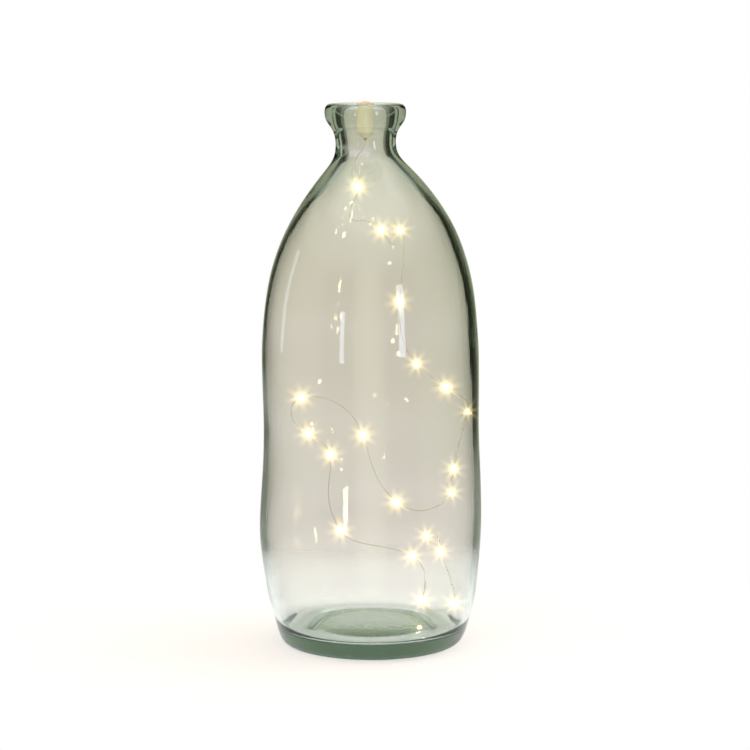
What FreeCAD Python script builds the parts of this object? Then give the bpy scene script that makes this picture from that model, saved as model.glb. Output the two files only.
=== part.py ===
import FreeCAD, Part
import math
import os
import re
import Sketcher

# Cork bottle light: a tall clear glass bottle with a slim cork-topped battery stick in its mouth,
# and a string of small lights that hangs from the stick down through the whole bottle.
# Millimetres, +Z up. The origin is the middle of the foot, and the camera side is -Y.

V = FreeCAD.Vector
UP = V(0, 0, 1)
FULL_TURN = 360

SIZES = (
    # Bottle, outside, from the foot up: rises add up to the rim
    ("body_radius", 70.4, "straight part of the body"),
    ("base_inset", 13.9, "flat of the foot, inside the body's radius"),
    ("base_round", 3.5, "rounding of the foot's edge"),
    ("heel_rise", 30.0, "from the foot to where its flare steepens"),
    ("heel_inset", 2.2, "that ring, inside the body's radius"),
    ("belly_rise", 36.0, "up to the belly"),
    ("belly_length", 24.0, "length of the belly"),
    ("belly_swell", 2.2, "belly, outside the body's radius"),
    ("waist_rise", 48.0, "up to the straight part"),
    ("waist_length", 56.0, "length of the straight part"),
    ("shoulder_rise", 105.0, "up to the root of the neck"),
    ("root_radius", 36.0, "root of the neck"),
    ("root_rise", 24.0, "up to the straight neck"),
    ("neck_length", 5.5, "straight part of the neck"),
    ("neck_radius", 19.8, "outside of the neck"),
    ("neck_lean", 3.0, "how far the blown neck stands to one side"),
    ("neck_flare_reach", 8.3, "widening of the neck's foot on the shoulder"),
    ("neck_flare_drop", 19.0, "height of that widening"),
    ("lip_rise", 14.5, "flare from the neck up to the lip's band"),
    ("lip_band", 3.0, "height of the band"),
    ("lip_round", 4.0, "rounding of the lip's top"),
    ("lip_swell", 6.4, "lip, outside the neck's radius"),
    # Bottle, inside
    ("floor_thickness", 12.5, "thick pressed base"),
    ("floor_inset", 9.8, "flat of the floor, inside the straight inner wall"),
    ("floor_taper", 31.0, "height over which the wall thickens to the floor"),
    ("side_wall", 3.6, "wall of the body"),
    ("cavity_chest_rise", 13.0, "top of the straight inner wall above the chest"),
    ("cavity_root_wall", 10.5, "wall at the root of the neck"),
    ("throat_radius", 11.4, "bore at its narrowest"),
    ("throat_flare_reach", 3.4, "widening of the bore into the cavity"),
    ("throat_flare_drop", 15.0, "height of that widening"),
    ("mouth_depth", 20.0, "length of the flared mouth"),
    ("mouth_swell", 4.0, "bore at the rim, outside the throat's radius"),
    ("mouth_round", 1.4, "eased inner edge of the rim"),
    ("punt_inset", 18.5, "hollow under the foot, inside the foot's flat"),
    ("punt_depth", 3.0, "its depth"),
    # Clear plug in the mouth
    ("plug_depth", 16.0, "from the rim to the plug's underside"),
    ("plug_height", 4.0, "height of the plug"),
    ("plug_gap", 0.3, "clearance to the glass"),
    # Battery stick
    ("stick_radius", 5.5, "outside of tube and cap"),
    ("tube_bore", 4.2, "inside radius of the tube"),
    ("slip", 0.1, "clearance of still pieces that fit in one another"),
    ("run_gap", 0.15, "clearance of pieces that slide"),
    ("groove_width", 1.6, "groove for the return strip"),
    ("groove_depth", 0.3, "its depth in the bore's wall"),
    ("cap_bore", 4.85, "skirt that slips over the tube's spigot"),
    ("cap_skirt", 2.2, "depth of that skirt"),
    ("cap_pocket", 4.35, "pocket for the switch board"),
    ("cap_roof", 1.2, "roof of the cap"),
    # Switch
    ("button_radius", 2.1, "press button"),
    ("button_proud", 0.6, "how far it stands out of the cap"),
    ("button_travel", 0.5, "how far it presses in"),
    ("button_flange", 2.9, "radius of its flange"),
    ("button_flange_height", 0.5, "thickness of its flange"),
    ("board_radius", 4.25, "round switch board"),
    ("board_thickness", 0.8, "its thickness"),
    ("dome_radius", 2.4, "snap dome"),
    ("dome_top_radius", 0.9, "flat of its crown"),
    ("dome_height", 0.7, "its height"),
    ("resistor_length", 1.6, "chip resistor"),
    ("resistor_width", 0.8, "its width"),
    ("resistor_height", 0.45, "its height"),
    ("resistor_place", 3.45, "its distance from the axis"),
    ("contact_sheet", 0.2, "brass of the contacts"),
    ("contact_width", 4.0, "square middle contact"),
    ("tab_width", 1.8, "outer contact over the return strip"),
    ("tab_length", 1.2, "its length toward the axis"),
    # Cells, spring leaf and strip
    ("cell_radius", 3.95, "button cell"),
    ("cell_height", 3.6, "button cell"),
    ("leaf_radius", 3.5, "base of the spring leaf"),
    ("leaf_sheet", 0.15, "its sheet"),
    ("leaf_rise", 0.9, "height of its tongue"),
    ("leaf_tongue_width", 2.4, "width of its tongue"),
    ("leaf_tongue_length", 4.2, "length of its tongue"),
    ("strip_width", 1.2, "return strip"),
    ("strip_sheet", 0.15, "its sheet"),
    # Tapered end and gland
    ("tube_floor", 1.1, "floor of the cell bore above the plug's underside"),
    ("taper_height", 4.5, "tapered end of the tube below the plug"),
    ("taper_tip_radius", 1.6, "end of the taper"),
    ("gland_radius", 1.0, "rubber gland at the tip"),
    ("gland_height", 2.0, "how far it stands out of the tip"),
    # String of lights
    ("wire_radius", 0.25, "twisted pair of enamelled wires"),
    ("light_lead", 32.8, "wire between the gland and the first light"),
    ("light_pitch", 47.3, "mean distance from light to light along the wire"),
    ("drop_radius", 1.25, "resin drop over each light"),
    ("drop_tip_radius", 0.45, "its narrow ends"),
    ("drop_length", 4.4, "its length along the wire"),
    ("drop_waist", 1.5, "length of its full part"),
    ("chip_size", 0.8, "light chip beside the wire"),
    ("chip_height", 0.5, "its height"),
    ("chip_gap", 0.05, "solder between wire and chip"),
)

LIGHT_COUNT = 20
CELL_COUNT = 3
WIRE_SIDES = 3
DROP_SIDES = 5

# Rings between the straight part and the root of the neck: rise and narrowing.
SHOULDER_SHARES = ((0.324, 0.09), (0.581, 0.279), (0.81, 0.593))
# The same inside, between the straight inner wall and the throat.
CAVITY_SHARES = ((0.555, 0.285),)
# Half way up the foot of the neck: rise and narrowing.
FLARE_SHARES = (0.45, 0.74)
# Half way up the flare of the lip: rise and widening.
LIP_FLARE_SHARES = (0.5, 0.5)

# Each light's shift along the wire from an even step, as a share of the mean step.
LIGHT_SHIFT_SHARES = (
    0, -0.07, -0.21, -0.2, -0.15, -0.25, -0.29, -0.18, -0.31, -0.21,
    -0.16, -0.09, -0.09, -0.26, -0.15, 0.03, 0.12, 0.05, 0.01, -0.02,
)

# Route of the wire inside the bottle, from the gland's tip to the last light.
WIRE_ROUTE = (
    (-3, 0, 327.5), (-3, 0, 323.5), (-5, -1, 319.5), (-8, -2, 315.5), (-9.5, -4, 310.5),
    (-9, -6, 304), (-7, -8, 297.5), (-9, -10, 290.5), (-12.5, -11, 284.5), (-13, -12, 278.5),
    (-8.5, -14, 275.5), (-3.5, -15, 277), (2, -16, 274.5), (7.5, -14, 270), (11.5, -8, 264),
    (14.5, 0, 259), (16.5, 9, 261), (18.5, 14.5, 266.5), (20, 19, 268), (22.5, 23, 263),
    (23.5, 23, 252), (22, 20, 240), (19.5, 14, 223), (20, 17, 209), (22, 18, 196),
    (25.5, 13, 187.5), (30.5, 3, 182.5), (36.5, -12, 180), (41, -28, 177), (47, -36, 173),
    (56, -29, 167), (62, -15, 160), (64, 0, 153), (63, 11, 144), (61, 19, 133),
    (58.5, 24, 120), (56.5, 23, 109), (54, 13, 104), (53, -2, 102), (52.5, -17, 101.5),
    (49, -30, 99), (41.5, -38, 96), (33, -42, 94), (25.5, -42, 95), (16.5, -38, 98.5),
    (10, -34, 105), (4, -31, 114), (-0.5, -30, 127), (-4, -30, 141.5), (-10, -30, 153),
    (-18, -31, 161), (-29.5, -34, 166.5), (-43.5, -37, 167), (-49, -31, 161), (-50.5, -20, 152),
    (-46.5, -9, 142), (-39, -6, 137), (-33, -19, 136), (-28, -33, 135), (-24, -43, 131),
    (-24.5, -44, 121), (-26.5, -42, 108), (-25, -40, 94), (-18.5, -38, 80), (-11.5, -37, 74),
    (0, -34, 70.5), (15, -28, 67), (27, -17, 60), (33, -9, 53), (36.5, 1, 43),
    (36.5, 10, 31), (34.5, 15, 22.5), (35.5, 18, 17), (39.5, 18, 14.5), (44.5, 11, 15.5),
    (50, 1, 19), (55, -10, 25.5), (54, -13, 36), (51.5, -4, 45), (49, 8, 50),
    (47, 17, 54.5), (46, 17, 62), (44, 6, 69), (40, -8, 73), (36, -19, 73),
)
ARC_SHARE = 0.45

document = FreeCAD.newDocument("cork_bottle_light")
sheet = document.addObject("Spreadsheet::Sheet", "Sizes")
for row, (alias, number, note) in enumerate(SIZES, start=1):
    sheet.set(f"A{row}", alias)
    sheet.set(f"B{row}", str(number))
    sheet.setAlias(f"B{row}", alias)
    sheet.set(f"C{row}", note)
document.recompute()

ALIAS = re.compile(r"\b(" + "|".join(alias for alias, number, note in SIZES) + r")\b")
pieces = []


# Binding to the sheet of sizes

def in_sheet(text):
    """Writes a sum of sizes the way an expression of the document names them."""
    return ALIAS.sub(r"Sizes.\1", text)


def number(text):
    """The present value of a sum of sizes."""
    return float(sheet.evalExpression(in_sheet(text)))


def bind(item, **properties):
    """Ties properties to sums of sizes; a double underscore stands for a point."""
    for name, text in properties.items():
        item.setExpression(name.replace("__", "."), in_sheet(text))


# Bodies, sketches and features

def new_body(label, x="0", z="0"):
    body = document.addObject("PartDesign::Body", label)
    body.Label = label
    bind(body, Placement__Base__x=x, Placement__Base__z=z)
    pieces.append(body)
    return body


def origin_plane(body, role):
    return next(item for item in body.Origin.OriginFeatures if item.Role == role)


def new_sketch(body, name, role="XY_Plane", x="0", z="0"):
    sketch = body.newObject("Sketcher::SketchObject", name)
    sketch.AttachmentSupport = [(origin_plane(body, role), "")]
    sketch.MapMode = "FlatFace"
    bind(sketch, AttachmentOffset__Base__x=x, AttachmentOffset__Base__z=z)
    return sketch


def tie(sketch, constraint, name, text):
    """Adds a dimension to a sketch and ties it to a sum of sizes."""
    index = sketch.addConstraint(constraint)
    sketch.renameConstraint(index, name)
    sketch.setExpression(f"Constraints.{name}", in_sheet(text))


def add_circle(sketch, name, radius):
    index = sketch.addGeometry(Part.Circle(V(0, 0, 0), UP, number(radius)))
    sketch.addConstraint(Sketcher.Constraint("Coincident", index, 3, -1, 1))
    tie(sketch, Sketcher.Constraint("Radius", index, number(radius)), name, radius)


def add_outline(sketch, corners):
    """Draws a closed outline of straight lines through (across, along) sums of sizes."""
    points = [V(number(across), number(along), 0) for across, along in corners]
    for start, end in zip(points, points[1:] + points[:1]):
        sketch.addGeometry(Part.LineSegment(start, end))
    for line, (across, along) in enumerate(corners):
        after = (line + 1) % len(corners)
        sketch.addConstraint(Sketcher.Constraint("Coincident", line, 2, after, 1))
        for kind, axis, text in (("DistanceX", -2, across), ("DistanceY", -1, along)):
            if text == "0":
                sketch.addConstraint(Sketcher.Constraint("PointOnObject", line, 1, axis))
            else:
                rule = Sketcher.Constraint(kind, -1, 1, line, 1, number(text))
                tie(sketch, rule, f"{kind}{line}", text)


def revolve(body, corners, cut=False, name="profile", x="0"):
    """Turns an outline of (radius, height) corners round an axis of the piece."""
    sketch = new_sketch(body, f"{body.Label}_{name}", "XZ_Plane", x=x)
    add_outline(sketch, corners)
    kind = "PartDesign::Groove" if cut else "PartDesign::Revolution"
    turned = body.newObject(kind, f"{body.Label}_{name}_turned")
    turned.Profile = sketch
    turned.ReferenceAxis = (sketch, ["V_Axis"])
    turned.Angle = FULL_TURN
    body.Tip = turned
    document.recompute()
    return turned


def pad(body, sketch, length, both_ways=False, cut=False):
    """Gives a sketch a thickness, or cuts it out of the piece."""
    kind = "PartDesign::Pocket" if cut else "PartDesign::Pad"
    block = body.newObject(kind, f"{sketch.Name}_block")
    block.Profile = sketch
    block.Midplane = both_ways
    bind(block, Length=length)
    body.Tip = block
    document.recompute()
    return block


def pad_block(body, left, right, middle, width, thickness):
    """A flat block from left to right along X, of one width about a middle on Y."""
    sketch = new_sketch(body, f"{body.Label}_face")
    low, high = f"{middle} - {width} * 0.5", f"{middle} + {width} * 0.5"
    add_outline(sketch, [(left, low), (right, low), (right, high), (left, high)])
    pad(body, sketch, thickness)


# Bottle

AXIS_X = "-neck_lean"
BASE_RADIUS = "(body_radius - base_inset)"
BELLY = "(heel_rise + belly_rise)"
WAIST = f"({BELLY} + belly_length + waist_rise)"
CHEST = f"({WAIST} + waist_length)"
ROOT = f"({CHEST} + shoulder_rise)"
NECK = f"({ROOT} + root_rise)"
NECK_TOP = f"({NECK} + neck_length)"
LIP = f"({NECK_TOP} + lip_rise)"
RIM = f"({LIP} + lip_band + lip_round)"
LIP_RADIUS = "(neck_radius + lip_swell)"


def mouth_radius_at(height):
    """The glass's inner radius at a height in the flared mouth."""
    return f"(throat_radius + mouth_swell * ({height} - {RIM} + mouth_depth) / mouth_depth)"


def between(low, high, rise, widening):
    """The corner at a share of the rise and of the widening between two corners."""
    radius = f"{low[0]} + (({high[0]}) - ({low[0]})) * {widening}"
    height = f"{low[1]} + (({high[1]}) - ({low[1]})) * {rise}"
    return radius, height


def make_bottle():
    """Blown glass: a turned body, and a turned neck, lip and bore on an axis a little aside."""
    body = new_body("bottle")
    chest = ("body_radius", CHEST)
    root = ("root_radius", ROOT)
    body_top = f"{NECK} - neck_lean"
    revolve(body, [
        ("0", "0"),
        (BASE_RADIUS, "0"),
        (f"{BASE_RADIUS} + base_round", "base_round"),
        ("body_radius - heel_inset", "heel_rise"),
        ("body_radius + belly_swell", BELLY),
        ("body_radius + belly_swell", f"{BELLY} + belly_length"),
        ("body_radius", WAIST),
        chest,
        *(between(chest, root, *shares) for shares in SHOULDER_SHARES),
        root,
        ("neck_radius - neck_lean", body_top),
        ("0", body_top),
    ], name="body")
    neck_foot = ("neck_radius + neck_flare_reach", f"{NECK} - neck_flare_drop")
    neck = ("neck_radius", NECK)
    neck_top = ("neck_radius", NECK_TOP)
    band = (LIP_RADIUS, LIP)
    revolve(body, [
        ("0", neck_foot[1]),
        neck_foot,
        between(neck_foot, neck, *FLARE_SHARES),
        neck,
        neck_top,
        between(neck_top, band, *LIP_FLARE_SHARES),
        band,
        (LIP_RADIUS, f"{LIP} + lip_band"),
        (f"{LIP_RADIUS} - lip_round / 3", f"{RIM} - lip_round / 3"),
        (f"{LIP_RADIUS} - lip_round", RIM),
        ("0", RIM),
    ], name="neck", x=AXIS_X)

    inner_chest = ("body_radius - side_wall", f"{CHEST} + cavity_chest_rise")
    throat = ("throat_radius", f"{NECK} - cavity_root_wall")
    revolve(body, [
        ("0", "floor_thickness"),
        ("body_radius - side_wall - floor_inset", "floor_thickness"),
        ("body_radius - side_wall", "floor_thickness + floor_taper"),
        inner_chest,
        *(between(inner_chest, throat, *shares) for shares in CAVITY_SHARES),
        throat,
        ("0", throat[1]),
    ], cut=True, name="cavity")
    bore_foot = f"{NECK} - neck_lean - throat_flare_drop"
    rounding = f"({RIM} - mouth_round)"
    revolve(body, [
        ("0", bore_foot),
        ("throat_radius + throat_flare_reach", bore_foot),
        ("throat_radius", f"{NECK} - neck_lean"),
        ("throat_radius", f"{RIM} - mouth_depth"),
        (mouth_radius_at(rounding), rounding),
        ("throat_radius + mouth_swell + mouth_round", RIM),
        ("0", RIM),
    ], cut=True, name="mouth", x=AXIS_X)
    hollow = new_sketch(body, "punt")
    add_circle(hollow, "radius", f"{BASE_RADIUS} - punt_inset")
    before = body.Shape.Volume
    recess = pad(body, hollow, "punt_depth", cut=True)
    recess.Reversed = True
    document.recompute()
    if not body.Shape.Volume < before:
        raise RuntimeError("the hollow under the foot cuts nothing")


# Heights of the battery stick, from the plug's underside up

PLUG_BOTTOM = f"({RIM} - plug_depth)"
LEAF_BOTTOM = f"({PLUG_BOTTOM} + tube_floor)"
CELLS_BOTTOM = f"({LEAF_BOTTOM} + leaf_rise)"
CONTACT_BOTTOM = f"({CELLS_BOTTOM} + cell_height * {CELL_COUNT})"
BOARD_BOTTOM = f"({CONTACT_BOTTOM} + contact_sheet)"
CAP_BOTTOM = f"({BOARD_BOTTOM} - cap_skirt)"
DOME_BOTTOM = f"({BOARD_BOTTOM} + board_thickness)"
BUTTON_BOTTOM = f"({DOME_BOTTOM} + dome_height + button_travel + run_gap)"
CAP_CEILING = f"({BUTTON_BOTTOM} + button_flange_height + slip)"


# Clear plug and battery tube

def make_plug():
    """Clear soft plug that sits in the tapered mouth and grips the stick."""
    body = new_body("stopper_plug", x=AXIS_X, z=PLUG_BOTTOM)
    low = mouth_radius_at(PLUG_BOTTOM)
    high = mouth_radius_at(f"({PLUG_BOTTOM} + plug_height)")
    revolve(body, [
        ("stick_radius + slip", "0"),
        (f"{low} - plug_gap", "0"),
        (f"{high} - plug_gap", "plug_height"),
        ("stick_radius + slip", "plug_height"),
    ])


TAPER_BOTTOM = f"({PLUG_BOTTOM} - taper_height)"


def make_battery_tube():
    """Moulded tube with a tapered end, a spigot for the cap and a groove inside."""
    body = new_body("battery_tube", x=AXIS_X, z=TAPER_BOTTOM)
    floor = f"{LEAF_BOTTOM} - {TAPER_BOTTOM}"
    shoulder = f"{CAP_BOTTOM} - {TAPER_BOTTOM}"
    spigot_top = f"{CONTACT_BOTTOM} - slip - {TAPER_BOTTOM}"
    revolve(body, [
        ("0", "0"),
        ("taper_tip_radius", "0"),
        ("stick_radius", "taper_height"),
        ("stick_radius", shoulder),
        ("cap_bore - run_gap", shoulder),
        ("cap_bore - run_gap", spigot_top),
        ("tube_bore", spigot_top),
        ("tube_bore", floor),
        ("0", floor),
    ])
    sketch = new_sketch(body, "strip_groove", z=floor)
    half = "groove_width * 0.5"
    add_outline(sketch, [
        ("0", f"-{half}"),
        ("tube_bore + groove_depth", f"-{half}"),
        ("tube_bore + groove_depth", half),
        ("0", half),
    ])
    before = body.Shape.Volume
    block = pad(body, sketch, f"{spigot_top} - ({floor})", cut=True)
    block.Reversed = True
    document.recompute()
    if not body.Shape.Volume < before:
        raise RuntimeError("the strip's groove cuts nothing")


def make_return_strip():
    """Thin brass strip in the tube's groove, from the bore's floor up to the outer contact."""
    body = new_body("return_strip", x=AXIS_X, z=LEAF_BOTTOM)
    outer = "tube_bore + groove_depth - slip"
    pad_block(body, f"{outer} - strip_sheet", outer, "0", "strip_width",
              f"{CONTACT_BOTTOM} - {LEAF_BOTTOM}")


def make_gland():
    """Rubber gland at the tapered tip, where the wire comes out."""
    body = new_body("wire_gland", x=AXIS_X, z=f"{TAPER_BOTTOM} - gland_height")
    face = new_sketch(body, "gland_face")
    add_circle(face, "radius", "gland_radius")
    pad(body, face, "gland_height")


def make_spring_leaf():
    """Stamped leaf whose bent tongue presses the cells up."""
    body = new_body("spring_leaf", x=AXIS_X, z=LEAF_BOTTOM)
    base = new_sketch(body, "leaf_base")
    add_circle(base, "radius", "leaf_radius")
    pad(body, base, "leaf_sheet")
    tongue = new_sketch(body, "leaf_tongue", "XZ_Plane")
    start = "-leaf_tongue_length * 0.5"
    end = "leaf_tongue_length * 0.5"
    add_outline(tongue, [
        (start, "leaf_sheet * 0.5"),
        (f"{start} + leaf_sheet * 3", "leaf_sheet * 0.5"),
        (f"{end} - leaf_sheet * 4", "leaf_rise - leaf_sheet"),
        (end, "leaf_rise - leaf_sheet * 1.6"),
        (end, "leaf_rise - leaf_sheet * 0.6"),
        (f"{end} - leaf_sheet * 4", "leaf_rise"),
        (start, "leaf_sheet * 1.5"),
    ])
    pad(body, tongue, "leaf_tongue_width", both_ways=True)


def make_cells():
    for index in range(CELL_COUNT):
        place = f"{CELLS_BOTTOM} + cell_height * {index}"
        body = new_body(f"button_cell_{index + 1}", x=AXIS_X, z=place)
        face = new_sketch(body, f"cell_face_{index + 1}")
        add_circle(face, "radius", "cell_radius")
        pad(body, face, "cell_height")


# Cork cap with its switch

def make_cork_cap():
    body = new_body("cork_cap", x=AXIS_X, z=CAP_BOTTOM)
    ceiling = f"{CAP_CEILING} - {CAP_BOTTOM}"
    top = f"{ceiling} + cap_roof"
    revolve(body, [
        ("cap_bore", "0"),
        ("stick_radius", "0"),
        ("stick_radius", top),
        ("button_radius + run_gap", top),
        ("button_radius + run_gap", ceiling),
        ("cap_pocket", ceiling),
        ("cap_pocket", "cap_skirt"),
        ("cap_bore", "cap_skirt"),
    ])


def make_button():
    """Press button whose flange is caught under the cap's roof."""
    body = new_body("switch_button", x=AXIS_X, z=BUTTON_BOTTOM)
    top = "button_flange_height + slip + cap_roof + button_proud"
    revolve(body, [
        ("0", "0"),
        ("button_flange", "0"),
        ("button_flange", "button_flange_height"),
        ("button_radius", "button_flange_height"),
        ("button_radius", top),
        ("0", top),
    ])


def make_board():
    """Round board with its snap dome and resistor on top and its contacts below."""
    board = new_body("switch_board", x=AXIS_X, z=BOARD_BOTTOM)
    face = new_sketch(board, "board_face")
    add_circle(face, "radius", "board_radius")
    pad(board, face, "board_thickness")

    dome = new_body("snap_dome", x=AXIS_X, z=DOME_BOTTOM)
    revolve(dome, [
        ("0", "0"),
        ("dome_radius", "0"),
        ("dome_top_radius", "dome_height"),
        ("0", "dome_height"),
    ])
    resistor = new_body("chip_resistor", x=AXIS_X, z=DOME_BOTTOM)
    half_length = "resistor_length * 0.5"
    pad_block(resistor, f"-{half_length}", half_length, "resistor_place", "resistor_width",
              "resistor_height")
    centre = new_body("centre_contact", x=AXIS_X, z=CONTACT_BOTTOM)
    half_contact = "contact_width * 0.5"
    pad_block(centre, f"-{half_contact}", half_contact, "0", "contact_width", "contact_sheet")
    outer = new_body("outer_contact", x=AXIS_X, z=CONTACT_BOTTOM)
    edge = "cap_bore - slip"
    pad_block(outer, f"{edge} - tab_length", edge, "0", "tab_width", "contact_sheet")


# String of lights

class WirePath:
    """Straight runs joined by tangent arcs, each as large as its two runs allow."""

    def __init__(self, route):
        points = [V(*point) for point in route]
        self.spans = []
        self.radii = []
        here = points[0]
        for before, corner, after in zip(points, points[1:], points[2:]):
            back, ahead = before - corner, after - corner
            tangent = ARC_SHARE * min(back.Length, ahead.Length)
            half_turn = (math.pi - back.getAngle(ahead)) / 2
            back.normalize()
            ahead.normalize()
            radius = tangent / math.tan(half_turn)
            start, end = corner + back * tangent, corner + ahead * tangent
            inward = (back + ahead).normalize()
            centre = corner + inward * math.hypot(radius, tangent)
            self.spans.append((here, start, None, None, (start - here).Length))
            axis = back.cross(ahead).normalize() * -1
            self.spans.append((start, end, centre, axis, radius * 2 * half_turn))
            self.radii.append(radius)
            here = end
        self.spans.append((here, points[-1], None, None, (points[-1] - here).Length))
        self.length = sum(span[-1] for span in self.spans)

    def at(self, distance):
        """The place and the direction at a distance along the wire."""
        for start, end, centre, axis, length in self.spans:
            if distance <= length or end is self.spans[-1][1]:
                break
            distance -= length
        if centre is None:
            direction = (end - start).normalize()
            return start + direction * distance, direction
        turn = FreeCAD.Rotation(axis, math.degrees(distance / (start - centre).Length))
        arm = turn.multVec(start - centre)
        return centre + arm, axis.cross(arm).normalize()

    def tube(self, radius, sides):
        """A faceted tube along the whole path as one closed solid."""
        start, direction = self.at(0)
        across = direction.cross(V(0, 1, 0)).normalize() * radius
        corners = [
            start + FreeCAD.Rotation(direction, FULL_TURN * side / sides).multVec(across)
            for side in range(sides)
        ]
        section = Part.makePolygon(corners + corners[:1])
        faces = [Part.Face(section)]
        for start, end, centre, axis, length in self.spans:
            if centre is None:
                faces += section.extrude(end - start).Faces
                corners = [corner + end - start for corner in corners]
            else:
                angle = math.degrees(length / (start - centre).Length)
                faces += section.revolve(centre, axis, angle).Faces
                turn = FreeCAD.Rotation(axis, angle)
                corners = [centre + turn.multVec(corner - centre) for corner in corners]
            section = Part.makePolygon(corners + corners[:1])
        faces.append(Part.Face(section))
        shell = Part.Shell(faces)
        shell.sewShape()
        solid = Part.makeSolid(shell)
        if solid.Volume < 0:
            solid.reverse()
        return solid


def add_shape(label, shape):
    feature = document.addObject("Part::Feature", label)
    feature.Label = label
    feature.Shape = shape
    pieces.append(feature)


def polygon_ring(radius, height, sides):
    """Corners of an even polygon round the Z axis."""
    return [
        FreeCAD.Rotation(UP, FULL_TURN * side / sides).multVec(V(radius, 0, height))
        for side in range(sides)
    ]


def drop_shape():
    """Faceted resin drop along Z, full in the middle and narrow at both ends."""
    half, waist = number("drop_length") / 2, number("drop_waist") / 2
    wide, narrow = number("drop_radius"), number("drop_tip_radius")
    outline = ((narrow, -half), (wide, -waist), (wide, waist), (narrow, half))
    rings = [polygon_ring(radius, height, DROP_SIDES) for radius, height in outline]
    faces = [Part.Face(Part.makePolygon(ring + ring[:1])) for ring in (rings[0], rings[-1])]
    for low, high in zip(rings, rings[1:]):
        for side in range(DROP_SIDES):
            after = (side + 1) % DROP_SIDES
            corners = [low[side], low[after], high[after], high[side], low[side]]
            faces.append(Part.Face(Part.makePolygon(corners)))
    shell = Part.Shell(faces)
    shell.sewShape()
    return Part.makeSolid(shell)


def make_string():
    """The wire, its resin drops and the light chips inside them."""
    path = WirePath(WIRE_ROUTE)
    radius = number("wire_radius")
    wire = path.tube(radius, WIRE_SIDES)
    add_shape("string_wire", wire)
    section = WIRE_SIDES / 2 * radius * radius * math.sin(2 * math.pi / WIRE_SIDES)
    print(f"wire length {path.length:.1f}, smallest bend radius {min(path.radii):.2f}")
    print("bend radii " + " ".join(f"{bend:.1f}" for bend in path.radii))
    print(f"wire volume {wire.Volume:.2f}, section times length {section * path.length:.2f}")

    drop = drop_shape()
    size, height = number("chip_size"), number("chip_height")
    chip = Part.makeBox(height, size, size, V(radius + number("chip_gap"), -size / 2, -size / 2))
    chips = []
    for index in range(LIGHT_COUNT):
        steps = index + LIGHT_SHIFT_SHARES[index]
        distance = number("light_lead") + number("light_pitch") * steps
        distance = min(distance, path.length - number("drop_waist") / 2)
        place, direction = path.at(distance)
        pose = FreeCAD.Placement(place, FreeCAD.Rotation(UP, direction))
        placed_chip = chip.copy()
        placed_chip.Placement = pose
        placed_drop = drop.copy()
        placed_drop.Placement = pose
        chips.append(placed_chip)
        add_shape(f"led_drop_{index + 1:02d}", placed_drop.cut(placed_chip))
    add_shape("led_chips", Part.makeCompound(chips))


# Build, check and write

make_bottle()
make_plug()
make_battery_tube()
make_return_strip()
make_gland()
make_spring_leaf()
make_cells()
make_cork_cap()
make_button()
make_board()
make_string()
document.recompute()

for item in document.Objects:
    if "Invalid" in item.State or "Error" in item.State:
        raise RuntimeError(f"{item.Label} failed: {item.State}")
os.makedirs("parts", exist_ok=True)
for piece in pieces:
    shape = piece.Shape
    if shape.isNull() or not shape.isValid() or not shape.Solids:
        raise RuntimeError(f"{piece.Label} has no valid solid")
    shape.exportStep(f"parts/{piece.Label}.step")
    box = shape.BoundBox
    print(f"{piece.Label}: {len(shape.Solids)} solid, volume {shape.Volume:.2f}, z {box.ZMin:.2f} to {box.ZMax:.2f}")
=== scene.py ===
"""Looks of the cork bottle light: a glass bottle with a string of lights under its stopper."""
import logging
import math
from collections.abc import Sequence
from dataclasses import dataclass, field
from enum import Enum

import bmesh
import bpy
from mathutils import Matrix, Vector, noise


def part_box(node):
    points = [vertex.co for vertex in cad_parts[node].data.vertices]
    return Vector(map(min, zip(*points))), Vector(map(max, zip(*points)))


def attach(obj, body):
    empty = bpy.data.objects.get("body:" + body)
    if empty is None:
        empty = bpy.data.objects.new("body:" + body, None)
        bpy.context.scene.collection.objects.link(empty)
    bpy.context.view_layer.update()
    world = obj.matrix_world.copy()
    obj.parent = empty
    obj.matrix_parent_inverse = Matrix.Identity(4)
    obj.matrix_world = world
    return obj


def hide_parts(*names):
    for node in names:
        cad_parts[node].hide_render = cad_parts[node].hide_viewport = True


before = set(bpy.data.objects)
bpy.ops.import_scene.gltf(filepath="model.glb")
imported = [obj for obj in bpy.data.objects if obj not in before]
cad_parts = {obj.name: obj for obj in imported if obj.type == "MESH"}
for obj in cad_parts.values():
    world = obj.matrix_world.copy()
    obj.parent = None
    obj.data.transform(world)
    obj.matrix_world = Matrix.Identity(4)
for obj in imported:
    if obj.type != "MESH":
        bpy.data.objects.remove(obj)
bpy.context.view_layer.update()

MM = 0.001
# Distance in metres under which two corners are one.
MERGE = 0.00001
FULL_TURN = 2 * math.pi
# Angle in degrees past which no edge of a closed shape is sharp.
NO_CREASE = 180.0
# Places of a colour mix's sockets, whose names repeat.
MIX_SHARE, MIX_FIRST, MIX_SECOND, MIX_RESULT = 0, 6, 7, 2

Point = tuple[float, float, float]
Ring = tuple[float, float]
Colour = tuple[float, float, float, float]
Tone = tuple[float, str | Colour]
Tree = bpy.types.NodeTree
Node = bpy.types.Node
Socket = bpy.types.NodeSocket
Piece = bpy.types.Object

log = logging.getLogger("cork_bottle_light")


class Body(Enum):
    """Moving bodies of the light, as the record names them."""

    BOTTLE = "bottle"
    STOPPER = "stopper"
    CAP = "cap"
    BUTTON = "button"


def linear(code: str) -> Colour:
    """Turn an sRGB hex colour into linear light.

    Args:
        code: Six hex digits.

    Returns:
        Linear red, green and blue, and full alpha.
    """
    shares = [int(code[start:start + 2], 16) / 255 for start in (0, 2, 4)]
    lit = [s / 12.92 if s <= 0.04045 else ((s + 0.055) / 1.055) ** 2.4 for s in shares]
    return lit[0], lit[1], lit[2], 1.0


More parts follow.
